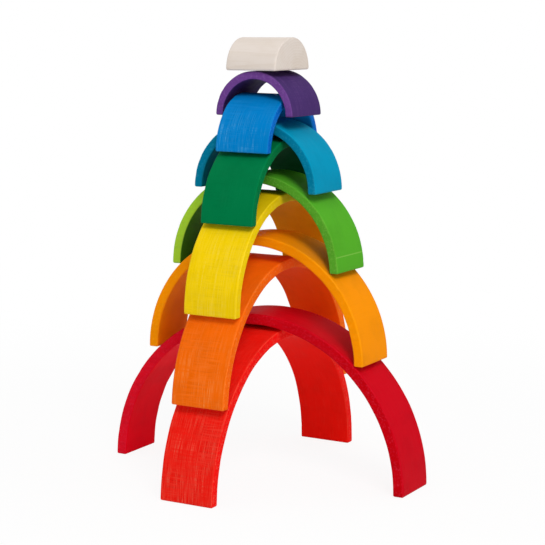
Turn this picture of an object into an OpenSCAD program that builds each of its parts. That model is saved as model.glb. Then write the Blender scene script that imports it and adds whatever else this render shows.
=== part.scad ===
// Rainbow stacker: ten stained wooden arches and a plain half-round block, stacked by hand into a tower.
// Put away, the pieces nest inside one another on one base line. Here they stand crossed, each arch
// across the one below it: its feet straddle the arch two below, or its inside lies on the crest of the
// one directly below, whichever holds it higher. Nothing is glued or pinned.

/* [Set] */
// Outer width of the largest arch
set_w = 370; // [320:1:420]
// Width of the plain half-round block that fills the smallest arch
block_w = 72; // [60:1:80]
// Depth of every piece, from its front face to its back face
piece_d = 64.5; // [45:0.5:75]
// Wall of the largest arch
first_wall = 12.4; // [10:0.1:15]
// Wall of the smallest arch
last_wall = 9.4; // [7:0.1:11]
// Radius of the sanded edges
edge_r = 1.2; // [0.5:0.1:3]

/* [Stacking] */
// Clearance left where one piece rests on another
seat_gap = 0.3; // [0.1:0.05:0.5]

/* [Hidden] */
// Pieces in the order they are stacked, from the floor up
NODES = [
    "red_arch", "crimson_arch", "orange_arch", "amber_arch", "yellow_arch", "lime_arch",
    "green_arch", "teal_arch", "blue_arch", "purple_arch", "natural_block"
];
$fn = 180;

// Place of each piece in the stack
function place_of(name) = [for (i = [0 : len(NODES) - 1]) if (NODES[i] == name) i][0];
RED = place_of("red_arch");
CRIMSON = place_of("crimson_arch");
ORANGE = place_of("orange_arch");
AMBER = place_of("amber_arch");
YELLOW = place_of("yellow_arch");
LIME = place_of("lime_arch");
GREEN = place_of("green_arch");
TEAL = place_of("teal_arch");
BLUE = place_of("blue_arch");
PURPLE = place_of("purple_arch");
NATURAL = place_of("natural_block");

// Gap between one piece and the next when they nest: what the walls of the ten arches leave over of the
// room between the set's outside and the block, shared out evenly
nest_gap = (set_w - block_w) / 2 / NATURAL - (first_wall + last_wall) / 2;

// How far each piece is turned off square about the vertical, in degrees
turns = [0, 0, 0.5, 0, 0.5, -1, 0, -0.5, 1.5, -2, -3.5];
// How far each arch leans in its own plane, in degrees, positive where its far or right foot is higher
leans = [0, 0, -2.8, 1, 2, 1.4, -0.4, 0.1, -1.2, 0.7, 0];
// How far each piece is slid along its own depth from what carries it, as shares of the depth
slide_shares = [-0.065, 0.065, -0.01, -0.022, -0.018, 0.063, 0.044, 0.029, -0.011, 0.013, -0.014];
// How far the block is tipped over the crest it lies on, in degrees, positive where its right end is higher
block_tip = 1;

// Order by size: only the two largest arches are stacked smaller first
function size_rank(i) = i == RED ? CRIMSON : i == CRIMSON ? RED : i;

// Sizes by rank, each piece nesting in the one before
function wall(rank) = first_wall + (last_wall - first_wall) * rank / (NATURAL - 1);
function outer_r(rank) = rank == 0 ? set_w / 2 : inner_r(rank - 1) - nest_gap;
function inner_r(rank) = outer_r(rank) - wall(rank);

// Sizes by place in the stack
function piece_outer_r(i) = outer_r(size_rank(i));
function piece_inner_r(i) = inner_r(size_rank(i));

// Directions of a piece: along its span, through its depth, and up as it leans
function spans_back(i) = i % 2 == 0;
function heading(i) = turns[i] + (spans_back(i) ? 90 : 0);
function span_dir(i) = [cos(heading(i)), sin(heading(i)), 0];
function depth_dir(i) = spans_back(i) ? [cos(turns[i]), sin(turns[i]), 0] : [-sin(turns[i]), cos(turns[i]), 0];
function lean_dir(i) = [0, 0, 1] * cos(leans[i]) - span_dir(i) * sin(leans[i]);
function tip(i) = i == NATURAL ? block_tip : 0;
function slide(i) = (depth_dir(i) * cos(tip(i)) + [0, 0, sin(tip(i))]) * piece_d * slide_shares[i];
function tipped_up(i) = [0, 0, cos(tip(i))] - depth_dir(i) * sin(tip(i));

// Height of an arch's axis over the axis of the parallel arch that its feet straddle: the inner edge of
// each foot lies on that arch's outside, first at one end if the two aren't quite parallel
function straddle_rise(i, lower) =
    let (
        skew = turns[i] - turns[lower],
        foot_edge = piece_inner_r(i) * cos(skew) - piece_d / 2 * abs(sin(skew)),
        reach = piece_outer_r(lower) + seat_gap
    )
    sqrt(max(0, reach * reach - foot_edge * foot_edge));

// Height of an arch's axis over the crest below it, with the inside of the arch on the crest's eased
// edges, or with its feet on the crest if the arch is too narrow to go over it
function crest_rise(i, off_centre) =
    let (
        reach = piece_inner_r(i) - edge_r - seat_gap,
        half_crest = piece_d / 2 - edge_r + off_centre
    )
    reach > half_crest ? -edge_r - sqrt(reach * reach - half_crest * half_crest) : seat_gap;

function crest_z(i, place) = place[2] + piece_outer_r(i);

// Centre of each piece's axis, from the places of the pieces below it
function floor_place(i) = slide(i);
function on_floor(place) = [place[0], place[1], max(0, place[2])];
function astride_place(i, lower) = lower + lean_dir(i) * straddle_rise(i, i - 2) + slide(i);
function crest_place(i, below, rise) = [below[0], below[1], crest_z(i - 1, below) + rise] + slide(i);
function higher_place(i, place, below) =
    let (
        off_centre = abs((place - below) * span_dir(i)),
        needed_z = crest_z(i - 1, below) + crest_rise(i, off_centre)
    )
    place[2] >= needed_z ? place : crest_place(i, below, crest_rise(i, 0));
function next_place(done) =
    let (i = len(done))
    i == RED ? floor_place(i)
    : i == CRIMSON ? on_floor(higher_place(i, floor_place(i), done[RED]))
    : i == NATURAL ? done[PURPLE] + tipped_up(i) * (piece_outer_r(PURPLE) + seat_gap) + slide(i)
    : higher_place(i, astride_place(i, done[i - 2]), done[i - 1]);
function stack_up(done) = len(done) == len(NODES) ? done : stack_up(concat(done, [next_place(done)]));

places = stack_up([]);

// Section of a piece from one radius to another, centred on its depth, with the corners eased
module section(from_r, to_r) {
    translate([from_r + edge_r, -piece_d / 2]) square([to_r - from_r - 2 * edge_r, piece_d]);
    translate([from_r, edge_r - piece_d / 2]) square([to_r - from_r, piece_d - 2 * edge_r]);
    for (x = [from_r + edge_r, to_r - edge_r], y = [edge_r, piece_d - edge_r])
        translate([x, y - piece_d / 2]) circle(edge_r);
}

// Half turn of a section about the piece's axis, standing on its flat sawn feet with the crest up
module half_turn() {
    rotate([90, 0, 0]) rotate_extrude(angle = 180) children();
}

module arch(rank) {
    half_turn() section(inner_r(rank), outer_r(rank));
}

// The solid half-round that fills the smallest arch
module half_round(rank) {
    half_turn() intersection() {
        section(-outer_r(rank), outer_r(rank));
        translate([0, -piece_d / 2]) square([outer_r(rank), piece_d]);
    }
}

// Puts a piece where it rests in the stack
module stacked(i) {
    translate(places[i]) rotate([0, 0, heading(i)]) rotate([-tip(i), -leans[i], 0]) children();
}

module stacked_arch(i) {
    stacked(i) arch(size_rank(i));
}

module red_arch() {
    color([0.90, 0.16, 0.10]) stacked_arch(RED);
}

module crimson_arch() {
    color([0.82, 0.06, 0.16]) stacked_arch(CRIMSON);
}

module orange_arch() {
    color([0.96, 0.42, 0.06]) stacked_arch(ORANGE);
}

module amber_arch() {
    color([0.98, 0.60, 0.08]) stacked_arch(AMBER);
}

module yellow_arch() {
    color([0.98, 0.86, 0.08]) stacked_arch(YELLOW);
}

module lime_arch() {
    color([0.42, 0.72, 0.20]) stacked_arch(LIME);
}

module green_arch() {
    color([0.02, 0.47, 0.25]) stacked_arch(GREEN);
}

module teal_arch() {
    color([0.03, 0.57, 0.72]) stacked_arch(TEAL);
}

module blue_arch() {
    color([0.02, 0.47, 0.82]) stacked_arch(BLUE);
}

module purple_arch() {
    color([0.36, 0.20, 0.50]) stacked_arch(PURPLE);
}

module natural_block() {
    color([0.87, 0.82, 0.75]) stacked(NATURAL) half_round(size_rank(NATURAL));
}

red_arch();
crimson_arch();
orange_arch();
amber_arch();
yellow_arch();
lime_arch();
green_arch();
teal_arch();
blue_arch();
purple_arch();
natural_block();
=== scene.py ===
"""Looks of a rainbow stacker: ten stained wooden arches and a plain half-round block, stacked by hand.

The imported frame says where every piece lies. Each piece is modelled again here with what hand work leaves
on it: eased edges and feet, a saw that wandered a little, bruised corners. All sizes are in metres.
"""

from __future__ import annotations

import logging
import math
from collections.abc import Iterable
from dataclasses import dataclass, field
from enum import Enum

import bpy
import numpy as np
from mathutils import Matrix, Vector

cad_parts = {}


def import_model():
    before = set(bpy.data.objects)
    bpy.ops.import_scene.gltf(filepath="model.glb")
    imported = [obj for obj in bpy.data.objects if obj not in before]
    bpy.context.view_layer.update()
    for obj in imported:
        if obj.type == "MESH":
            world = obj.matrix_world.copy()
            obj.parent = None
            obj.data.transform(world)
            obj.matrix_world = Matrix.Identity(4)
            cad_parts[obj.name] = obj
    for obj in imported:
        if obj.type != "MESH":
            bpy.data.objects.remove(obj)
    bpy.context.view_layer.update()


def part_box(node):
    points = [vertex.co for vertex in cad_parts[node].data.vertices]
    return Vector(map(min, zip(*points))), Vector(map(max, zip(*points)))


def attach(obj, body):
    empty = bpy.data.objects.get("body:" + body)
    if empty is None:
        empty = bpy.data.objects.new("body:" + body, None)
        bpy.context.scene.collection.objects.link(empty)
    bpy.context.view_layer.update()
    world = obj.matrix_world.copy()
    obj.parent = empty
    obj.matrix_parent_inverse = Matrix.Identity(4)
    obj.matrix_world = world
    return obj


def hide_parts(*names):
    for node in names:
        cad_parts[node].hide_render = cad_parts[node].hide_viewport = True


LOG = logging.getLogger("rainbow_stacker")
PHOTO_SIDE = 545
FIRST_SEED = 100

Tone = tuple[int, int, int]
Colour = tuple[float, float, float, float]
Scales = tuple[float, float, float]
Socket = bpy.types.NodeSocket

WHITE: Colour = (1.0, 1.0, 1.0, 1.0)
BLACK: Colour = (0.0, 0.0, 0.0, 1.0)


class Span(Enum):
    """Which way a piece spans in the stack, as the heading of its span in degrees."""

    SIDE_TO_SIDE = 0.0
    FRONT_TO_BACK = 90.0


class Channel(Enum):
    """What each vertex knows of the wood around it, by the name of its mesh attribute.

    Grain runs along the bent piece, plank through the wood it was sawn from. Facing is which way the true
    shape faces: on an arch out from it, through its depth and along it, on the block sideways, up and along
    it. Place, on an arch, is how far a point lies from the first foot, from the last foot and from the
    middle of the depth. The block's bare wood reads neither grain nor place.
    """

    GRAIN = "grain"
    PLANK = "plank"
    FACING = "facing"
    PLACE = "place"


@dataclass(frozen=True)
class Pattern:
    """A cloudy pattern that can be stretched along the wood, about 0.5 on average.

    Scales is how many marks fit in a metre along each of the channel's axes. Detail is how many finer
    octaves are added, and rough how strong they are.
    """

    channel: Channel
    scales: Scales
    detail: float = 2.0
    rough: float = 0.5


@dataclass(frozen=True)
class Mark:
    """What a pattern leaves on the wood: least where it hasn't passed begins, most where it is past full."""

    pattern: Pattern
    begins: float
    full: float
    least: float = 0.0
    most: float = 1.0


# Patterns and marks of stained wood
FIBRES = Pattern(Channel.GRAIN, (34.0, 980.0, 980.0), rough=0.6)
HAIRS = Pattern(Channel.GRAIN, (45.0, 1500.0, 1500.0), rough=0.6)
SAW_STROKES = Pattern(Channel.GRAIN, (720.0, 30.0, 60.0), detail=1.0)
PATCHES = Pattern(Channel.PLANK, (45.0, 45.0, 45.0), detail=3.0, rough=0.55)
PALE_FIBRES = Mark(FIBRES, 0.42, 0.78)
DARK_FIBRES = Mark(FIBRES, 0.5, 0.26)
FIBRE_ROUGHNESS = Mark(FIBRES, 0.3, 0.7, 0.56, 0.7)
BUNDLES = Mark(Pattern(Channel.GRAIN, (30.0, 150.0, 150.0)), 0.34, 0.66, 0.55, 0.85)
PALE_HAIRS = Mark(HAIRS, 0.5, 0.8)
SAW_GROOVES = Mark(SAW_STROKES, 0.46, 0.7)
SAW_RIDGES = Mark(SAW_STROKES, 0.5, 0.3)
SAW_DASHES = Mark(SAW_STROKES, 0.36, 0.6, 0.3, 1.0)
SAW_PATCHES = Mark(Pattern(Channel.GRAIN, (16.0, 30.0, 30.0)), 0.34, 0.62)
CLOUDS = Mark(Pattern(Channel.PLANK, (24.0, 24.0, 24.0), detail=4.0, rough=0.6), 0.42, 0.68)
FACE_RINGS = Mark(Pattern(Channel.PLANK, (12.0, 10.0, 330.0)), 0.45, 0.7)
SPECKS = Mark(Pattern(Channel.PLANK, (420.0, 420.0, 420.0), detail=3.0, rough=0.6), 0.48, 0.72)
RUBBED_PATCHES = Mark(PATCHES, 0.34, 0.58)
WORN_PATCHES = Mark(PATCHES, 0.38, 0.66, 0.3, 1.0)

# Patterns and marks of bare wood
RING_DRIFT = Pattern(Channel.PLANK, (30.0, 5.0, 30.0))
BARE_FIBRES = Pattern(Channel.PLANK, (700.0, 18.0, 700.0), detail=3.0, rough=0.6)
PORES = Pattern(Channel.PLANK, (1500.0, 120.0, 1500.0), rough=0.6)
BARE_CLOUDS = Mark(Pattern(Channel.PLANK, (38.0, 20.0, 38.0), detail=3.0, rough=0.55), 0.4, 0.7)
DARK_BARE_FIBRES = Mark(BARE_FIBRES, 0.5, 0.75)
BARE_ROUGHNESS = Mark(BARE_FIBRES, 0.3, 0.7, 0.58, 0.72)
DARK_PORES = Mark(PORES, 0.62, 0.8)

# Where on a piece something begins and is full, as how far the surface faces a way or as a length, and
# then its least and most where these aren't 0 and 1
ON_EDGE = (0.985, 0.78)
ON_FACE = (0.45, 0.9)
OUTSIDE = (-0.2, 0.6, 0.25, 1.0)
# The inside faces, where the inside's painted light and shade is laid over the stain.
INSIDE = (-0.3, -0.9)
NEAR_LAST_FOOT = (0.17, 0.06, 0.35, 1.0)
SCUFF_LINE = (0.0009, 0.0002)


def shader_colour(tone: Tone, strength: float = 1.0) -> Colour:
    """Turns a tone as seen on a screen into a shader's colour.

    Args:
        tone: Red, green and blue from 0 to 255.
        strength: What the colour is multiplied by.

    Returns:
        The linear colour, opaque.
    """
    shares = [part / 255 for part in tone]
    linear = [x / 12.92 if x <= 0.04045 else ((x + 0.055) / 1.055) ** 2.4 for x in shares]
    red, green, blue = (strength * x for x in linear)
    return red, green, blue, 1.0


class Bench:
    """Lays out the shader nodes of a material or a world and wires them."""

    bump_strength: float = 0.3

    def __init__(self, owner: bpy.types.Material | bpy.types.World) -> None:
        """Clears the owner's nodes.

        Args:
            owner: The material or world to lay out.
        """
        owner.use_nodes = True
        self.owner = owner
        self.tree = owner.node_tree
        self.tree.nodes.clear()
        self.patterns: dict[Pattern, Socket] = {}

    def node(self, kind: str, inputs: dict | None = None, **settings: object) -> bpy.types.Node:
        """Adds one node.

        Args:
            kind: Blender's name of the node's type, without its first word.
            inputs: What goes into its sockets, by name or place: a value, or a socket to wire.
            settings: The node's own settings.

        Returns:
            The new node.
        """
        made = self.tree.nodes.new("ShaderNode" + kind)
        for name, value in settings.items():
            setattr(made, name, value)
        for key, value in (inputs or {}).items():
            if isinstance(value, Socket):
                self.tree.links.new(value, made.inputs[key])
            else:
                made.inputs[key].default_value = value
        return made

    def sum(self, operation: str, first: object, second: object = 0.0) -> Socket:
        """Works out one arithmetic step on numbers or sockets."""
        return self.node("Math", {0: first, 1: second}, operation=operation).outputs[0]

    def product(self, *factors: object) -> Socket:
        """Multiplies numbers and sockets.

        Args:
            factors: Any number of them, a socket first.

        Returns:
            The product's socket.
        """
        result = factors[0]
        for factor in factors[1:]:
            result = self.sum("MULTIPLY", result, factor)
        return result

    def ramp(self, value: Socket, low: float, high: float, start: float = 0.0, end: float = 1.0) -> Socket:
        """Eases a value from start to end as it goes from low to high.

        Args:
            value: The socket to read.
            low: Where the result leaves start.
            high: Where the result reaches end.
            start: Result at or before low.
            end: Result at or past high.

        Returns:
            The eased value's socket.
        """
        sockets = {"Value": value, "From Min": low, "From Max": high, "To Min": start, "To Max": end}
        return self.node("MapRange", sockets, interpolation_type="SMOOTHSTEP").outputs[0]

    def vector(self, operation: str, first: object, second: object) -> Socket:
        """Works out one step on vectors."""
        return self.node("VectorMath", {0: first, 1: second}, operation=operation).outputs[0]

    def length(self, vector: Socket) -> Socket:
        """Measures a vector."""
        return self.node("VectorMath", {0: vector}, operation="LENGTH").outputs["Value"]

    def axes(self, vector: Socket) -> bpy.types.NodeOutputs:
        """Takes a vector apart."""
        return self.node("SeparateXYZ", {0: vector}).outputs

    def channel(self, channel: Channel) -> Socket:
        """Reads a vertex channel as a vector."""
        return self.node("Attribute", attribute_name=channel.value).outputs["Vector"]

    def pattern(self, pattern: Pattern) -> Socket:
        """Adds a pattern, or finds it where it was added before.

        Args:
            pattern: The pattern.

        Returns:
            The pattern's socket.
        """
        if pattern not in self.patterns:
            along = {"Vector": self.channel(pattern.channel), "Scale": pattern.scales}
            sockets = {"Vector": self.node("Mapping", along).outputs[0], "Scale": 1.0}
            sockets |= {"Detail": pattern.detail, "Roughness": pattern.rough}
            self.patterns[pattern] = self.node("TexNoise", sockets).outputs[0]
        return self.patterns[pattern]

    def mark(self, mark: Mark, *factors: object) -> Socket:
        """Adds a mark, held back by any number of factors."""
        eased = self.ramp(self.pattern(mark.pattern), mark.begins, mark.full, mark.least, mark.most)
        return self.product(eased, *factors)

    def blend(self, share: object, under: object, over: object) -> Socket:
        """Lays one colour over another by a share."""
        sockets = {"Factor": share, 6: under, 7: over}
        return self.node("Mix", sockets, data_type="RGBA").outputs[2]

    def layered(self, colour: object, layers: Iterable[tuple[Socket, object]]) -> Socket:
        """Lays several colours over one another.

        Args:
            colour: The lowest colour.
            layers: The share and the colour of each layer, from the lowest up.

        Returns:
            The colour that shows.
        """
        for share, over in layers:
            colour = self.blend(share, colour, over)
        return colour

    def edge_share(self) -> Socket:
        """Finds the eased edges.

        Returns:
            A share that is 1 on an eased edge and 0 on any flat or curved face.
        """
        facing = self.axes(self.channel(Channel.FACING))
        parts = [self.sum("ABSOLUTE", facing[axis]) for axis in range(3)]
        flat = self.sum("MAXIMUM", self.sum("MAXIMUM", parts[0], parts[1]), parts[2])
        return self.ramp(flat, *ON_EDGE)

    def relief(self, depth: float, heights: Iterable[Socket]) -> Socket:
        """Raises the surface by the sum of some heights.

        Args:
            depth: How far a height of 1 stands out.
            heights: The heights to sum.

        Returns:
            The raised surface's normal.
        """
        first, *others = heights
        for other in others:
            first = self.sum("ADD", first, other)
        sockets = {"Height": first, "Strength": self.bump_strength, "Distance": depth}
        return self.node("Bump", sockets).outputs[0]

    def surface(self, shader: bpy.types.Node) -> bpy.types.Material:
        """Makes a shader the material's surface and hands the material over."""
        self.node("OutputMaterial", {"Surface": shader.outputs[0]})
        return self.owner


class Spot:
    """Where a point of the surface lies on its arch, as sockets for a finish to read."""

    def __init__(self, bench: Bench) -> None:
        """Reads the vertex channels.

        Args:
            bench: Where the finish is laid out.
        """
        facing = bench.axes(bench.channel(Channel.FACING))
        place = bench.axes(bench.channel(Channel.PLACE))
        self.from_first_foot = place[0]
        self.from_last_foot = place[1]
        self.on_face = bench.ramp(bench.sum("ABSOLUTE", facing[1]), *ON_FACE)
        self.on_curve = bench.sum("SUBTRACT", 1.0, self.on_face)
        self.on_edge = bench.edge_share()
        self.outside = bench.ramp(facing[0], *OUTSIDE)
        # Share of the inside of the arch, where the inside's painted light and shade is laid.
        self.inside = bench.ramp(facing[0], *INSIDE)


@dataclass(frozen=True)
class StainedWood:
    """Pale close-grained wood dyed with a thin water stain that lets the grain and saw marks show.

    Outer is the tone of the curved outside. Inner is the tone painted on the inside, or None where it is the
    same, and the inside's strength is how light the inside is painted against it. Both are painted light and
    shade: some insides are darkened for the shade in them, others lightened, and some tinted, for the light
    reflected into them. Face is the tone of the front and back, which take the stain another way, and on
    some arches turn to it from first_face, the tone at the first foot. Pale is the tone of rubbed wood.
    Spread is the length that this turn and the rub of the last foot are scaled to: turn_at, turn_done,
    rub_done and rub_full are shares of it. Scuff is how far a pale line lies from the first foot, or 0 for
    none. A field named for a share is a part of another field's strength. Relief depth is how far a height
    of 1 stands out, and the heights are parts of it. The rest are strengths.
    """

    colour: str
    outer: Tone
    face: Tone
    pale: Tone
    streaks: float
    saw_lines: float
    clouds: float
    mottle: float
    rubbed_foot: float = 0.2
    wear: float = 0.16
    # How much lighter or darker the inside is painted: painted light and shade, not stain.
    inside: float = 1.0
    # Tone painted on the inside: painted shade and painted reflected light, not another stain.
    inner: Tone | None = None
    first_face: Tone | None = None
    spread: float = 0.3
    turn_at: float = 0.2
    turn_done: float = 0.85
    rub_done: float = 0.3
    rub_full: float = 0.04
    scuff: float = 0.0
    scuff_strength: float = 0.4
    dark_streak_share: float = 0.8
    hair_share: float = 0.3
    groove_share: float = 0.7
    ridge_share: float = 0.16
    ring_share: float = 0.6
    deepening: float = 0.3
    relief_depth: float = 0.0003
    fibre_height: float = 0.8
    hair_height: float = 0.25
    gloss: float = 0.045

    def stain(self, bench: Bench, spot: Spot) -> Socket:
        """Lays the stain on the outside and the two faces, and on the inside a tone with painted light and
        shade.

        Args:
            bench: Where the finish is laid out.
            spot: Where a point lies on the arch.

        Returns:
            The stain's colour, with the painted light and shade of the inside, without any marks.
        """
        face = shader_colour(self.face)
        if self.first_face:
            ends = (self.turn_at * self.spread, self.turn_done * self.spread)
            turned = bench.ramp(spot.from_first_foot, *ends)
            face = bench.blend(turned, shader_colour(self.first_face), face)
        # The inside's tone and strength are painted light and shade: darkened on some arches for the shade
        # inside them, lightened or tinted on others for light reflected into them.
        inner = shader_colour(self.inner or self.outer, self.inside)
        curve = bench.blend(spot.inside, shader_colour(self.outer), inner)
        return bench.blend(spot.on_face, curve, face)

    def layers(self, bench: Bench, spot: Spot, stain: Socket) -> list[tuple[Socket, object]]:
        """Lists what shows on the stain: deeper and paler marks of the wood, the saw and wear.

        Args:
            bench: Where the finish is laid out.
            spot: Where a point lies on the arch.
            stain: The stain's colour.

        Returns:
            The share and the colour of each layer, from the lowest up.
        """
        deep = bench.blend(self.deepening, stain, BLACK)
        pale = shader_colour(self.pale)
        bundles = bench.mark(BUNDLES)
        sawn = bench.mark(SAW_PATCHES)
        marked = bench.product(spot.on_curve, spot.outside, bench.ramp(spot.from_last_foot, *NEAR_LAST_FOOT))
        low_down = bench.ramp(spot.from_last_foot, self.rub_done * self.spread, self.rub_full * self.spread)
        streaks = bench.sum("ADD", bench.mark(RUBBED_PATCHES, low_down, self.rubbed_foot), self.streaks)
        layers = [
            (bench.mark(CLOUDS, self.clouds), deep),
            (bench.mark(FACE_RINGS, spot.on_face, self.ring_share * self.mottle), deep),
            (bench.mark(SAW_GROOVES, sawn, marked, self.groove_share * self.saw_lines), deep),
            (bench.mark(DARK_FIBRES, bundles, marked, self.dark_streak_share * self.streaks), deep),
            (bench.mark(SPECKS, spot.on_face, self.mottle), pale),
            (bench.mark(SAW_RIDGES, sawn, marked, self.ridge_share * self.saw_lines), pale),
            (bench.mark(PALE_FIBRES, bundles, bench.mark(SAW_DASHES), streaks, marked), pale),
            (bench.mark(PALE_HAIRS, self.hair_share * self.streaks), pale),
            (bench.mark(WORN_PATCHES, spot.on_edge, self.wear), pale),
        ]
        if self.scuff:
            off_line = bench.sum("ABSOLUTE", bench.sum("SUBTRACT", spot.from_first_foot, self.scuff))
            line = bench.product(bench.ramp(off_line, *SCUFF_LINE), spot.on_curve, self.scuff_strength)
            layers.append((line, pale))
        return layers

    def material(self) -> bpy.types.Material:
        """Builds the stained wood's material.

        Returns:
            The material, which reads the vertex channels of a piece.
        """
        bench = Bench(bpy.data.materials.new(f"{self.colour}_stained_wood"))
        spot = Spot(bench)
        stain = self.stain(bench, spot)
        heights = (
            bench.product(bench.pattern(FIBRES), self.fibre_height),
            bench.product(bench.pattern(SAW_STROKES), bench.mark(SAW_PATCHES), spot.on_curve),
            bench.product(bench.pattern(HAIRS), self.hair_height),
        )
        shader = bench.node(
            "BsdfPrincipled",
            {
                "Base Color": bench.layered(stain, self.layers(bench, spot, stain)),
                "Roughness": bench.mark(FIBRE_ROUGHNESS),
                "Normal": bench.relief(self.relief_depth, heights),
                "Specular IOR Level": self.gloss,
                "Specular Tint": shader_colour(self.pale),
            },
        )
        return bench.surface(shader)


@dataclass(frozen=True)
class PlainWood:
    """The same pale wood left bare, with faint growth rings and pores.

    Pith is where the middle of the rings lies from the middle of the block's flat side.
    """

    light: Tone = (224, 213, 204)
    dark: Tone = (206, 190, 172)
    pith: Scales = (0.012, 0.0, -0.020)
    end_plane: Scales = (1.0, 0.0, 1.0)
    rings_in_metre: float = 330.0
    ring_drift: float = 2.4
    ring_darkening: tuple[float, float] = (0.35, 1.0)
    rings: float = 0.25
    clouds: float = 0.35
    fibres: float = 0.3
    pores: float = 0.3
    pore_shade: float = 0.75
    wear: float = 0.3
    worn_light: float = 1.06
    relief_depth: float = 0.0002
    fibre_height: float = 0.7
    pore_height: float = 0.3
    gloss: float = 0.2

    def growth_rings(self, bench: Bench) -> Socket:
        """Draws growth rings about the pith.

        Args:
            bench: Where the finish is laid out.

        Returns:
            A share that grows through each ring and drops at its end.
        """
        from_pith = bench.vector("SUBTRACT", bench.channel(Channel.PLANK), self.pith)
        radius = bench.length(bench.vector("MULTIPLY", from_pith, self.end_plane))
        drift = bench.product(bench.pattern(RING_DRIFT), self.ring_drift)
        turns = bench.sum("ADD", bench.product(radius, self.rings_in_metre), drift)
        return bench.ramp(bench.sum("FRACT", turns), *self.ring_darkening)

    def material(self) -> bpy.types.Material:
        """Builds the bare wood's material.

        Returns:
            The material, which reads the vertex channels of a piece.
        """
        bench = Bench(bpy.data.materials.new("bare_wood"))
        dark = shader_colour(self.dark)
        layers = [
            (bench.mark(BARE_CLOUDS, self.clouds), dark),
            (bench.product(self.growth_rings(bench), self.rings), dark),
            (bench.mark(DARK_BARE_FIBRES, self.fibres), dark),
            (bench.mark(DARK_PORES, self.pores), shader_colour(self.dark, self.pore_shade)),
            (bench.product(bench.edge_share(), self.wear), shader_colour(self.light, self.worn_light)),
        ]
        heights = (
            bench.product(bench.pattern(BARE_FIBRES), self.fibre_height),
            bench.product(bench.pattern(PORES), self.pore_height),
        )
        shader = bench.node(
            "BsdfPrincipled",
            {
                "Base Color": bench.layered(shader_colour(self.light), layers),
                "Roughness": bench.mark(BARE_ROUGHNESS),
                "Normal": bench.relief(self.relief_depth, heights),
                "Specular IOR Level": self.gloss,
            },
        )
        return bench.surface(shader)


# The inside strengths and inner tones below are painted light and shade: they darken the insides of the dark
# arches for the shade there, and lighten or tint others for the light reflected into them.
STAINS = (
    StainedWood(
        "red", outer=(237, 22, 13), face=(252, 10, 8), pale=(240, 142, 112),
        streaks=0.34, saw_lines=0.55, clouds=0.25, mottle=0.25, rubbed_foot=0.3, inside=1.14,
    ),
    StainedWood(
        "crimson", outer=(206, 1, 24), face=(226, 16, 38), pale=(222, 52, 78),
        streaks=0.16, saw_lines=0.3, clouds=0.3, mottle=0.45, inside=1.38,
        first_face=(198, 2, 14), spread=0.56,
    ),
    StainedWood(
        "orange", outer=(244, 104, 4), face=(252, 106, 2), pale=(250, 170, 96),
        streaks=0.24, saw_lines=0.5, clouds=0.3, mottle=0.25, rubbed_foot=0.55, inside=1.06,
        inner=(246, 86, 2),
    ),
    StainedWood(
        "amber", outer=(252, 148, 1), face=(252, 150, 1), pale=(252, 186, 60),
        streaks=0.16, saw_lines=0.25, clouds=0.25, mottle=0.25,
    ),
    StainedWood(
        "yellow", outer=(244, 206, 2), face=(248, 212, 2), pale=(248, 226, 110),
        streaks=0.3, saw_lines=0.3, clouds=0.25, mottle=0.2, inner=(233, 158, 2),
    ),
    StainedWood(
        "lime", outer=(82, 170, 38), face=(168, 216, 54), pale=(156, 206, 96),
        streaks=0.2, saw_lines=0.3, clouds=0.3, mottle=0.3, inside=0.5,
        first_face=(84, 164, 42), spread=0.31, turn_at=0.45, scuff=0.017,
    ),
    StainedWood(
        "green", outer=(0, 117, 66), face=(0, 117, 62), pale=(40, 140, 92),
        streaks=0.1, saw_lines=0.2, clouds=0.3, mottle=0.2, inside=0.42,
    ),
    StainedWood(
        "teal", outer=(0, 147, 185), face=(1, 122, 158), pale=(60, 174, 202),
        streaks=0.12, saw_lines=0.2, clouds=0.25, mottle=0.25, inside=0.5,
    ),
    StainedWood(
        "blue", outer=(0, 125, 198), face=(0, 106, 202), pale=(88, 172, 224),
        streaks=0.12, saw_lines=0.4, clouds=0.25, mottle=0.25, rubbed_foot=0.9, spread=0.2,
    ),
    StainedWood(
        "purple", outer=(68, 44, 102), face=(108, 65, 140), pale=(140, 98, 166),
        streaks=0.45, saw_lines=0.35, clouds=0.35, mottle=0.4, inside=0.7,
    ),
)


@dataclass(frozen=True)
class NestingSet:
    """Sizes that all the pieces share, by which they nest in one another when put away."""

    width: float = 0.370
    block_width: float = 0.072
    depth: float = 0.0645
    first_wall: float = 0.0124
    last_wall: float = 0.0094
    edge_radius: float = 0.0012
    arches: int = 10

    def nest_gap(self) -> float:
        """Gap between one piece and the next when they nest."""
        return (self.width - self.block_width) / 2 / self.arches - (self.first_wall + self.last_wall) / 2

    def wall(self, rank: int) -> float:
        """Wall of an arch, by its place in order of size."""
        return self.first_wall + (self.last_wall - self.first_wall) * rank / (self.arches - 1)

    def outer_radius(self, rank: int) -> float:
        """Outer radius of a piece, by its place in order of size."""
        return self.width / 2 - sum(self.wall(larger) + self.nest_gap() for larger in range(rank))


class Wander:
    """A smooth, seeded unevenness over a surface, from 0 to 1."""

    waves: int = 9
    swing: float = 0.8

    def __init__(self, rng: np.random.Generator, shortest: float, longest: float) -> None:
        """Draws the waves that make the unevenness.

        Args:
            rng: Where the random draws come from.
            shortest: The shortest wavelength.
            longest: The longest wavelength.
        """
        lengths = np.exp(rng.uniform(math.log(shortest), math.log(longest), self.waves))
        headings = rng.uniform(0, math.tau, self.waves)
        self.along = np.cos(headings) * math.tau / lengths
        self.across = np.sin(headings) * math.tau / lengths
        self.starts = rng.uniform(0, math.tau, self.waves)

    def at(self, along: np.ndarray, across: np.ndarray | float) -> np.ndarray:
        """Reads the unevenness at some points.

        Args:
            along: Their places along the piece.
            across: Their places across it.

        Returns:
            One share for each point.
        """
        points = np.broadcast_arrays(along, across)
        angles = points[0][..., None] * self.along + points[1][..., None] * self.across + self.starts
        return np.clip(0.5 + self.swing * np.sin(angles).mean(axis=-1), 0.0, 1.0)


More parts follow.
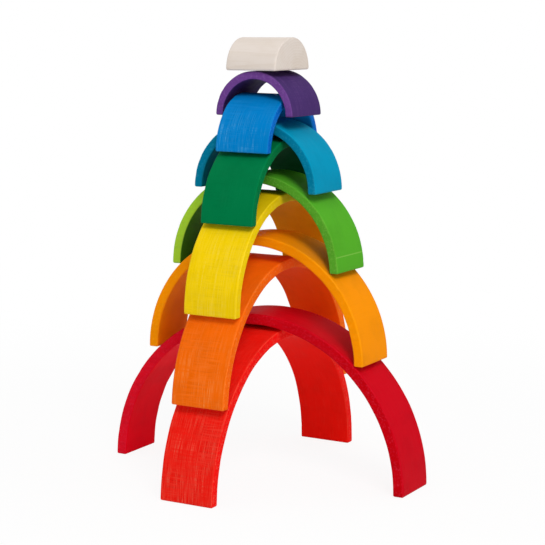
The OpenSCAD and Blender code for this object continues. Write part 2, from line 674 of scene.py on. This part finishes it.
@dataclass(frozen=True)
class HandWork:
    """What the saw and the sanding take off a piece. Nothing is ever added to its true shape.

    The fields named for waves hold the shortest and the longest of them. Spreads are shares of a bruise's
    depth and length. Ring step is about how far apart the rings of a mesh lie, and foot rings is how many
    go round each eased end.
    """

    saw_hollow: float = 0.00025
    saw_waves: tuple[float, float] = (0.018, 0.2)
    block_waves: tuple[float, float] = (0.02, 0.12)
    foot_easing: float = 0.0018
    extra_easing_share: float = 1.0
    easing_waves: tuple[float, float] = (0.02, 0.15)
    least_radius: float = 0.0001
    bruises: int = 14
    bruise_depth: float = 0.0008
    bruise_depth_spread: tuple[float, float] = (0.2, 1.0)
    bruise_length: float = 0.0022
    bruise_length_spread: tuple[float, float] = (0.5, 1.6)
    ring_step: float = 0.0026
    foot_rings: int = 6

    def edge_radii(self, rng: np.random.Generator, along: np.ndarray, least: float) -> np.ndarray:
        """Works out how far each long edge is eased along a piece.

        Args:
            rng: Where the random draws come from.
            along: The stations along the piece.
            least: The least radius.

        Returns:
            Four radii for each station.
        """
        radii = np.empty((len(along), 4))
        for edge in range(4):
            easing = Wander(rng, *self.easing_waves).at(along, 0.0)
            radii[:, edge] = least * (1 + self.extra_easing_share * easing)
        places = rng.uniform(along.min(), along.max(), self.bruises)
        depths = self.bruise_depth * rng.uniform(*self.bruise_depth_spread, self.bruises)
        lengths = self.bruise_length * rng.uniform(*self.bruise_length_spread, self.bruises)
        for bruise, edge in enumerate(rng.integers(0, 4, self.bruises)):
            offset = (along - places[bruise]) / lengths[bruise]
            radii[:, edge] += depths[bruise] * np.exp(-offset * offset)
        return radii

    def stations(self, length: float) -> tuple[np.ndarray, np.ndarray, np.ndarray]:
        """Sets out the rings along a piece, closer together round its eased ends.

        Args:
            length: From one end to the other.

        Returns:
            Each ring's place along the piece, how far it is drawn in, and how far its skin faces the end,
            negative at the first end.
        """
        easing = self.foot_easing
        bends = np.linspace(0.0, math.pi / 2, self.foot_rings)
        start = easing * (1 - np.cos(bends))
        drawn_in = easing * (1 - np.sin(bends))
        inner_count = max(3, round((length - 2 * easing) / self.ring_step))
        inner = np.linspace(easing, length - easing, inner_count + 1)[1:-1]
        along = np.concatenate([start, inner, (length - start)[::-1]])
        insets = np.concatenate([drawn_in, np.zeros(len(inner)), drawn_in[::-1]])
        tips = np.concatenate([-np.cos(bends), np.zeros(len(inner)), np.cos(bends)[::-1]])
        return along, insets, tips


@dataclass(frozen=True)
class Rim:
    """Round-cornered outline of a bar's section, as points on four sides from corner to corner.

    The corners are numbered round the outline from the inner one on the piece's own front, and a point lies
    a share of the way between a place on one corner's arc and a place on the next one's.
    """

    corner_steps: int = 3
    long_steps: int = 12
    short_steps: int = 6
    first_corner: float = 1.25 * math.pi

    def sides(self) -> tuple[int, int]:
        """Steps on a long side and on a short one, half of each corner included."""
        return self.long_steps + 2 * self.corner_steps, self.short_steps + 2 * self.corner_steps

    def points(self) -> tuple[np.ndarray, np.ndarray, np.ndarray]:
        """Lists the outline's points.

        Returns:
            The corner that each point starts from, which way it faces there, and its share of the way to
            the next corner.
        """
        corners, angles, shares = [], [], []
        eighth = math.pi / 4
        for side, flat_steps in enumerate((self.long_steps, self.short_steps) * 2):
            middle = self.first_corner + side * 2 * eighth
            for step in range(self.corner_steps + 1):
                corners.append(side)
                angles.append(middle + eighth * step / self.corner_steps)
                shares.append(0.0)
            for step in range(1, flat_steps):
                corners.append(side)
                angles.append(middle + eighth)
                shares.append(0.5 - 0.5 * math.cos(math.pi * step / flat_steps))
            for step in range(self.corner_steps):
                corners.append((side + 1) % 4)
                angles.append(middle + eighth + eighth * step / self.corner_steps)
                shares.append(0.0)
        ways = np.stack([np.cos(angles), np.sin(angles)], axis=1)
        return np.array(corners), ways, np.array(shares)


@dataclass
class Outline:
    """Points round a section, and which way each faces."""

    points: list[tuple[float, float]] = field(default_factory=list)
    ways: list[tuple[float, float]] = field(default_factory=list)

    def add_arc(self, centre: tuple[float, float], radius: float, angles: Iterable[float]) -> None:
        """Adds a stretch of an arc.

        Args:
            centre: The arc's centre.
            radius: Its radius.
            angles: The points' bearings from the centre.
        """
        for angle in angles:
            way = (math.cos(angle), math.sin(angle))
            self.points.append((centre[0] + radius * way[0], centre[1] + radius * way[1]))
            self.ways.append(way)

    def add_flat(self, reach: float, height: float, steps: int) -> None:
        """Adds the points inside a flat underside.

        Args:
            reach: How far the underside goes to either side.
            height: Its height.
            steps: How many steps it is divided into.
        """
        for step in range(1, steps):
            self.points.append((-reach + 2 * reach * step / steps, height))
            self.ways.append((0.0, -1.0))


@dataclass
class Loft:
    """Closed skin over a run of rings, with a grid of faces over the first ring and the last.

    Each ring point holds its place and then its vertex channels, three numbers each.
    """

    rings: np.ndarray
    long_steps: int
    short_steps: int

    def cap(self, ring: np.ndarray) -> np.ndarray:
        """Fills a ring with a grid of points.

        Args:
            ring: The ring's points.

        Returns:
            The grid, with the ring's own points round its border.
        """
        wide, high = self.long_steps, self.short_steps
        low_side = ring[: wide + 1]
        end_side = ring[wide : wide + high + 1]
        top_side = ring[wide + high : 2 * wide + high + 1][::-1]
        start_side = np.concatenate([ring[2 * wide + high :], ring[:1]])[::-1]
        u = np.linspace(0, 1, wide + 1)[None, :, None]
        v = np.linspace(0, 1, high + 1)[:, None, None]
        ruled = (1 - v) * low_side[None] + v * top_side[None]
        ruled = ruled + (1 - u) * start_side[:, None] + u * end_side[:, None]
        corners = (1 - u) * (1 - v) * low_side[0] + u * (1 - v) * low_side[-1]
        corners = corners + (1 - u) * v * top_side[0] + u * v * top_side[-1]
        return ruled - corners

    def cap_indices(self, ring_start: int, inside_start: int) -> np.ndarray:
        """Numbers a cap's grid of points.

        Args:
            ring_start: Number of the ring's first point.
            inside_start: Number of the first point inside the ring.

        Returns:
            The grid of point numbers.
        """
        wide, high = self.long_steps, self.short_steps
        ring = ring_start + np.arange(2 * (wide + high))
        grid = np.empty((high + 1, wide + 1), int)
        grid[1:-1, 1:-1] = inside_start + np.arange((high - 1) * (wide - 1)).reshape(high - 1, wide - 1)
        grid[0] = ring[: wide + 1]
        grid[:, -1] = ring[wide : wide + high + 1]
        grid[-1] = ring[wide + high : 2 * wide + high + 1][::-1]
        grid[1:, 0] = ring[2 * wide + high :][::-1]
        return grid

    @staticmethod
    def quads(grid: np.ndarray) -> np.ndarray:
        """Faces between the neighbours of a grid of point numbers."""
        corners = (grid[:-1, :-1], grid[:-1, 1:], grid[1:, 1:], grid[1:, :-1])
        return np.stack([corner.ravel() for corner in corners], axis=1)

    def mesh(self, name: str, place: Matrix) -> bpy.types.Mesh:
        """Makes the skin.

        Args:
            name: The mesh's name.
            place: Where the piece lies, from its own axes.

        Returns:
            A closed mesh of quads in the shared frame, with its vertex channels.
        """
        stations, count, width = self.rings.shape
        tube = np.arange(stations * count).reshape(stations, count)
        closed = np.concatenate([tube, tube[:, :1]], axis=1)
        caps = [self.cap(self.rings[end])[1:-1, 1:-1].reshape(-1, width) for end in (0, -1)]
        first = self.cap_indices(0, stations * count)
        last = self.cap_indices((stations - 1) * count, stations * count + len(caps[0]))
        values = np.concatenate([self.rings.reshape(stations * count, width), *caps])
        faces = np.concatenate([self.quads(closed), self.quads(first)[:, ::-1], self.quads(last)])
        spots = values[:, :3]
        corner = [spots[faces[:, k]] for k in range(3)]
        if np.einsum("ij,ij->i", corner[0], np.cross(corner[1], corner[2])).sum() < 0:
            faces = faces[:, ::-1]
        mesh = bpy.data.meshes.new(name)
        mesh.from_pydata(spots.tolist(), [], faces.tolist())
        mesh.transform(place)
        for number, channel in enumerate(Channel, start=1):
            attribute = mesh.attributes.new(channel.value, "FLOAT_VECTOR", "POINT")
            triples = values[:, 3 * number : 3 * number + 3]
            attribute.data.foreach_set("vector", triples.astype(np.float32).ravel())
        mesh.shade_smooth()
        mesh.update()
        return mesh


@dataclass
class Piece:
    """One piece of the set, where it lies in the stack.

    Rank is its place in order of size. Turn, lean and tip are in degrees: off square about the vertical,
    in the plane of the arch, and across that plane.
    """

    colour: str
    finish: StainedWood | PlainWood
    rank: int
    span: Span
    turn: float = 0.0
    lean: float = 0.0
    tip: float = 0.0
    sizes: NestingSet = field(default_factory=NestingSet)
    work: HandWork = field(default_factory=HandWork)
    outline_steps: int = 1440

    @property
    def node(self) -> str:
        """Name of the frame's node that this piece stands for."""
        return f"{self.colour}_arch"

    @property
    def slot(self) -> str:
        """Name of the record's material slot."""
        return f"{self.colour}_stain"

    @property
    def outer_radius(self) -> float:
        """Radius of the outside."""
        return self.sizes.outer_radius(self.rank)

    def turned(self) -> Matrix:
        """Turns the piece as it lies in the stack.

        Returns:
            The rotation from its own axes, before it is moved to its place.
        """
        heading = Matrix.Rotation(math.radians(self.span.value + self.turn), 4, "Z")
        lean = Matrix.Rotation(-math.radians(self.lean), 4, "Y")
        return heading @ lean @ Matrix.Rotation(-math.radians(self.tip), 4, "X")

    def place(self) -> Matrix:
        """Finds where the piece lies.

        The true half round, turned as the piece is, has the same box as the node but for its place.

        Returns:
            The move from the piece's own axes to the shared frame.
        """
        turned = self.turned()
        angles = np.linspace(0.0, math.pi, self.outline_steps + 1)
        half = self.sizes.depth / 2
        outline = np.array([(math.cos(a), 0.0, math.sin(a)) for a in angles]) * self.outer_radius
        corners = np.concatenate([outline - (0.0, half, 0.0), outline + (0.0, half, 0.0)])
        corners = corners @ np.array(turned.to_3x3()).T
        low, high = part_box(self.node)
        middle = (corners.min(axis=0) + corners.max(axis=0)) / 2
        return Matrix.Translation((low + high) / 2 - Vector(middle)) @ turned

    def rings(self, rng: np.random.Generator) -> Loft:
        """Sets out the piece's rings about its own axes."""
        raise NotImplementedError

    def build(self) -> bpy.types.Object:
        """Builds the piece in the shared frame.

        Returns:
            The new object, not dressed yet.
        """
        name = f"{self.colour}_{type(self).__name__.lower()}_piece"
        rng = np.random.default_rng(FIRST_SEED + self.rank)
        piece = bpy.data.objects.new(name, self.rings(rng).mesh(name, self.place()))
        bpy.context.scene.collection.objects.link(piece)
        return piece

    def dress(self, piece: bpy.types.Object) -> None:
        """Gives the piece its finish and hangs it on its body.

        Args:
            piece: The object to dress.
        """
        piece.data.materials.append(self.finish.material())
        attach(piece, self.colour)
        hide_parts(self.node)


@dataclass
class Arch(Piece):
    """A half ring sawn from the solid, on two flat feet with eased edges."""

    rim: Rim = field(default_factory=Rim)
    grain_shift: float = 0.37

    def section(self, radii: np.ndarray, insets: np.ndarray) -> np.ndarray:
        """Works out the section of the arch at each ring.

        Args:
            radii: Radii of the four long edges at each ring.
            insets: How far each ring is drawn in.

        Returns:
            Each point's place through the depth and out from the middle of the wall.
        """
        corners, ways, shares = self.rim.points()
        following = (corners + 1) % 4
        signs = np.array([(-1, -1), (1, -1), (1, 1), (-1, 1)])
        halves = np.array([self.sizes.depth / 2, self.sizes.wall(self.rank) / 2])
        reach = halves - insets[:, None]
        centres = signs * (reach[:, None, :] - radii[:, :, None])
        here = centres[:, corners] + radii[:, corners, None] * ways
        there = centres[:, following] + radii[:, following, None] * ways
        return here + shares[:, None] * (there - here)

    def rings(self, rng: np.random.Generator) -> Loft:
        """Sets out the rings of an arch, from its right or far foot over to the other.

        Args:
            rng: Where the random draws come from.

        Returns:
            The loft of the arch about its own axes.
        """
        half_wall = self.sizes.wall(self.rank) / 2
        middle = self.outer_radius - half_wall
        length = math.pi * middle
        along, insets, tips = self.work.stations(length)
        eased = self.work.edge_radii(rng, along, self.sizes.edge_radius)
        section = self.section(np.maximum(eased - insets[:, None], self.work.least_radius), insets)
        across, lift = section[..., 0], section[..., 1]
        along = along[:, None]

        nearness = np.clip(lift / half_wall, -1.0, 1.0)
        hollow_out = self.work.saw_hollow * Wander(rng, *self.work.saw_waves).at(along, across)
        hollow_in = self.work.saw_hollow * Wander(rng, *self.work.saw_waves).at(along, across)
        radius = middle + lift - hollow_out * np.maximum(nearness, 0) + hollow_in * np.maximum(-nearness, 0)
        bearing = along / middle
        spots = np.stack([radius * np.cos(bearing), across, radius * np.sin(bearing)], axis=2)

        ways = self.rim.points()[1]
        drawn = np.sqrt(1 - tips**2)[:, None]
        shift = self.grain_shift * (self.rank + 1)
        grain = (along + shift, across + shift, lift)
        facing = (drawn * ways[:, 1], drawn * ways[:, 0], tips[:, None])
        place = (along, length - along, across)
        grain, facing, place = (np.stack(np.broadcast_arrays(*x), axis=2) for x in (grain, facing, place))
        rings = np.concatenate([spots, grain, spots + shift, facing, place], axis=2)
        return Loft(rings, *self.rim.sides())


@dataclass
class Block(Piece):
    """The solid half-round that fills the smallest arch.

    Shoulder is the bearing, in degrees, where the outline's short sides meet its long top.
    """

    corner_steps: int = 3
    side_steps: int = 9
    top_steps: int = 36
    shoulder: float = 38.0

    @property
    def node(self) -> str:
        """Name of the frame's node that this piece stands for."""
        return f"{self.colour}_block"

    @property
    def slot(self) -> str:
        """Name of the record's material slot."""
        return f"{self.colour}_wood"

    def profile(self, inset: float, easing: float) -> tuple[np.ndarray, np.ndarray]:
        """Draws the half-round outline, flat side down, with its two long corners eased.

        Args:
            inset: How far the outline is drawn in.
            easing: Radius of the two corners.

        Returns:
            The outline's points, from the middle of the left corner along the flat side, and which way
            each faces.
        """
        radius = self.outer_radius - inset
        reach = math.sqrt((radius - easing) ** 2 - easing**2)
        leave = math.atan2(easing, reach)
        shoulder = math.radians(self.shoulder)
        down = -math.pi / 2
        half_turn = (math.pi / 2 + leave) / 2
        under = np.linspace(down + half_turn, down, self.corner_steps + 1)
        beside = np.linspace(down + half_turn, leave, self.corner_steps + 1)
        left, right, top = (-reach, inset + easing), (reach, inset + easing), (0.0, inset)
        outline = Outline()
        outline.add_arc(left, easing, -math.pi - under)
        outline.add_flat(reach, inset, self.top_steps - 2 * self.corner_steps)
        outline.add_arc(right, easing, under[::-1])
        outline.add_arc(right, easing, beside[1:])
        outline.add_arc(top, radius, np.linspace(leave, shoulder, self.side_steps + 1)[1:])
        outline.add_arc(top, radius, np.linspace(shoulder, math.pi - shoulder, self.top_steps + 1)[1:])
        outline.add_arc(top, radius, math.pi - np.linspace(shoulder, leave, self.side_steps + 1)[1:])
        outline.add_arc(left, easing, math.pi - beside[-2:0:-1])
        return np.array(outline.points), np.array(outline.ways)

    def rings(self, rng: np.random.Generator) -> Loft:
        """Sets out the rings of the block, from its front end to its back end.

        Args:
            rng: Where the random draws come from.

        Returns:
            The loft of the block about its own axes.
        """
        depth = self.sizes.depth
        easing = max(self.sizes.edge_radius, self.work.foot_easing)
        hollow = Wander(rng, *self.work.block_waves)
        rows = []
        for along, inset, tip in zip(*self.work.stations(depth)):
            outline, ways = self.profile(inset, easing)
            bearing = np.arctan2(outline[:, 1], outline[:, 0]) * self.outer_radius
            rise = np.clip(outline[:, 1] / self.outer_radius, 0.0, 1.0)
            taken = self.work.saw_hollow * hollow.at(bearing, along) * rise
            outline = outline - ways * taken[:, None]
            across = np.full(len(outline), along - depth / 2)
            spots = np.stack([outline[:, 0], across, outline[:, 1]], axis=1)
            grain = np.stack([across, bearing, across], axis=1)
            facing = np.stack([*(ways.T * math.sqrt(1 - tip * tip)), np.full(len(outline), tip)], axis=1)
            rows.append(np.concatenate([spots, grain, spots, facing, grain], axis=1))
        return Loft(np.array(rows), self.top_steps, self.side_steps + self.corner_steps)


@dataclass
class Tower:
    """The whole stack, piece by piece from the floor up."""

    bare_wood: PlainWood = field(default_factory=PlainWood)
    block_work: HandWork = field(default_factory=lambda: HandWork(foot_easing=0.002))

    def pieces(self) -> list[Piece]:
        """Lists the pieces, turned and leaning as the frame has them.

        Returns:
            The pieces in the order that they are stacked.
        """
        across, back = Span.SIDE_TO_SIDE, Span.FRONT_TO_BACK
        stain = {stain.colour: stain for stain in STAINS}
        return [
            Arch("red", stain["red"], rank=1, span=back),
            Arch("crimson", stain["crimson"], rank=0, span=across),
            Arch("orange", stain["orange"], rank=2, span=back, turn=0.5, lean=-2.8),
            Arch("amber", stain["amber"], rank=3, span=across, lean=1.0),
            Arch("yellow", stain["yellow"], rank=4, span=back, turn=0.5, lean=2.0),
            Arch("lime", stain["lime"], rank=5, span=across, turn=-1.0, lean=1.4),
            Arch("green", stain["green"], rank=6, span=back, lean=-0.4),
            Arch("teal", stain["teal"], rank=7, span=across, turn=-0.5, lean=0.1),
            Arch("blue", stain["blue"], rank=8, span=back, turn=1.5, lean=-1.2),
            Arch("purple", stain["purple"], rank=9, span=across, turn=-2.0, lean=0.7),
            Block("natural", self.bare_wood, rank=10, span=back, turn=-3.5, tip=1.0, work=self.block_work),
        ]

    def build(self) -> None:
        """Builds and dresses every piece and reports it."""
        for piece in self.pieces():
            made = piece.build()
            piece.dress(made)
            LOG.info("%s: %d faces on body %s", made.name, len(made.data.polygons), piece.colour)


@dataclass
class Studio:
    """Pale floor, soft light and the camera that took the view. Angles are in degrees."""

    camera_place: Vector = field(default_factory=lambda: Vector((0.9359, -1.7116, 0.5297)))
    azimuth: float = 28.52
    elevation: float = 8.79
    roll: float = 0.71
    focal_pixels: float = 1754.7
    sensor_width: float = 36.0
    floor_side: float = 60.0
    floor_drop: float = 0.0003
    floor_colour: Colour = (0.92, 0.92, 0.92, 1.0)
    floor_white_share: float = 0.9
    floor_fade: tuple[float, float] = (0.3, 1.1)
    ambient_low: float = 0.27
    ambient_high: float = 0.86
    key_place: Vector = field(default_factory=lambda: Vector((1.5, -1.5, 2.3)))
    key_side: float = 1.0
    key_power: float = 39.0
    aim: Vector = field(default_factory=lambda: Vector((0.0, 0.0, 0.22)))

    def set_camera(self) -> None:
        """Puts the camera where the photograph was taken from."""
        azimuth, elevation, roll = (math.radians(x) for x in (self.azimuth, self.elevation, self.roll))
        right = Vector((math.cos(azimuth), math.sin(azimuth), 0.0))
        back = Vector((math.sin(azimuth), -math.cos(azimuth), 0.0)) * math.cos(elevation)
        back.z = math.sin(elevation)
        up = back.cross(right)
        rolled_right = right * math.cos(roll) + up * math.sin(roll)
        rolled_up = up * math.cos(roll) - right * math.sin(roll)
        data = bpy.data.cameras.new("camera")
        data.sensor_width = self.sensor_width
        data.lens = self.focal_pixels / PHOTO_SIDE * self.sensor_width
        camera = bpy.data.objects.new("camera", data)
        axes = Matrix((rolled_right, rolled_up, back)).transposed().to_4x4()
        camera.matrix_world = Matrix.Translation(self.camera_place) @ axes
        bpy.context.scene.collection.objects.link(camera)
        bpy.context.scene.camera = camera

    def seen_share(self, bench: Bench) -> Socket:
        """Finds what is looked at straight on, by the camera, in a reflection or through a clear piece.

        Args:
            bench: Where the floor or the room is laid out.

        Returns:
            A share that is 1 there and 0 for light that falls on the object.
        """
        rays = bench.node("LightPath").outputs
        direct = bench.sum("MAXIMUM", rays["Is Camera Ray"], rays["Is Glossy Ray"])
        return bench.sum("MAXIMUM", direct, rays["Is Transmission Ray"])

    def lay_floor(self) -> None:
        """Lays a pale floor that keeps the shadows and fades to plain white away from the tower."""
        half = self.floor_side / 2
        sides = ((-half, -half), (half, -half), (half, half), (-half, half))
        mesh = bpy.data.meshes.new("floor")
        mesh.from_pydata([(x, y, -self.floor_drop) for x, y in sides], [], [(0, 1, 2, 3)])
        bench = Bench(bpy.data.materials.new("pale_floor"))
        white = bench.node("Emission", {"Color": WHITE, "Strength": 1.0})
        paper = bench.node("BsdfDiffuse", {"Color": self.floor_colour})
        reach = bench.length(bench.node("NewGeometry").outputs["Position"])
        whiteness = bench.ramp(reach, *self.floor_fade, self.floor_white_share, 1.0)
        share = bench.product(self.seen_share(bench), whiteness)
        mix = bench.node("MixShader", {0: share, 1: paper.outputs[0], 2: white.outputs[0]})
        mesh.materials.append(bench.surface(mix))
        floor = bpy.data.objects.new("floor", mesh)
        bpy.context.scene.collection.objects.link(floor)

    def hang_lamp(self) -> None:
        """Hangs a large soft lamp over the right front."""
        data = bpy.data.lights.new("soft_key", "AREA")
        data.shape = "SQUARE"
        data.size = self.key_side
        data.energy = self.key_power
        lamp = bpy.data.objects.new("soft_key", data)
        lamp.location = self.key_place
        lamp.rotation_mode = "QUATERNION"
        lamp.rotation_quaternion = (self.aim - self.key_place).to_track_quat("-Z", "Y")
        bpy.context.scene.collection.objects.link(lamp)

    def light_room(self) -> None:
        """Lights a pale room that is brighter overhead and shows as plain white."""
        bench = Bench(bpy.data.worlds.new("pale_room"))
        way = bench.axes(bench.node("NewGeometry").outputs["Position"])
        strength = bench.ramp(way[2], 0.0, 1.0, self.ambient_low, self.ambient_high)
        room = bench.node("Background", {"Color": WHITE, "Strength": strength})
        seen = bench.node("Background", {"Color": WHITE, "Strength": 1.0})
        sockets = {0: self.seen_share(bench), 1: room.outputs[0], 2: seen.outputs[0]}
        mix = bench.node("MixShader", sockets)
        bench.node("OutputWorld", {"Surface": mix.outputs[0]})
        bpy.context.scene.world = bench.owner

    def build(self) -> None:
        """Sets up the whole studio."""
        bpy.context.scene.view_settings.view_transform = "Standard"
        self.set_camera()
        self.lay_floor()
        self.hang_lamp()
        self.light_room()


def main() -> None:
    """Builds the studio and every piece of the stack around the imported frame."""
    logging.basicConfig(level=logging.INFO, format="%(message)s")
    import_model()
    Studio().build()
    Tower().build()


if __name__ == "__main__":
    main()
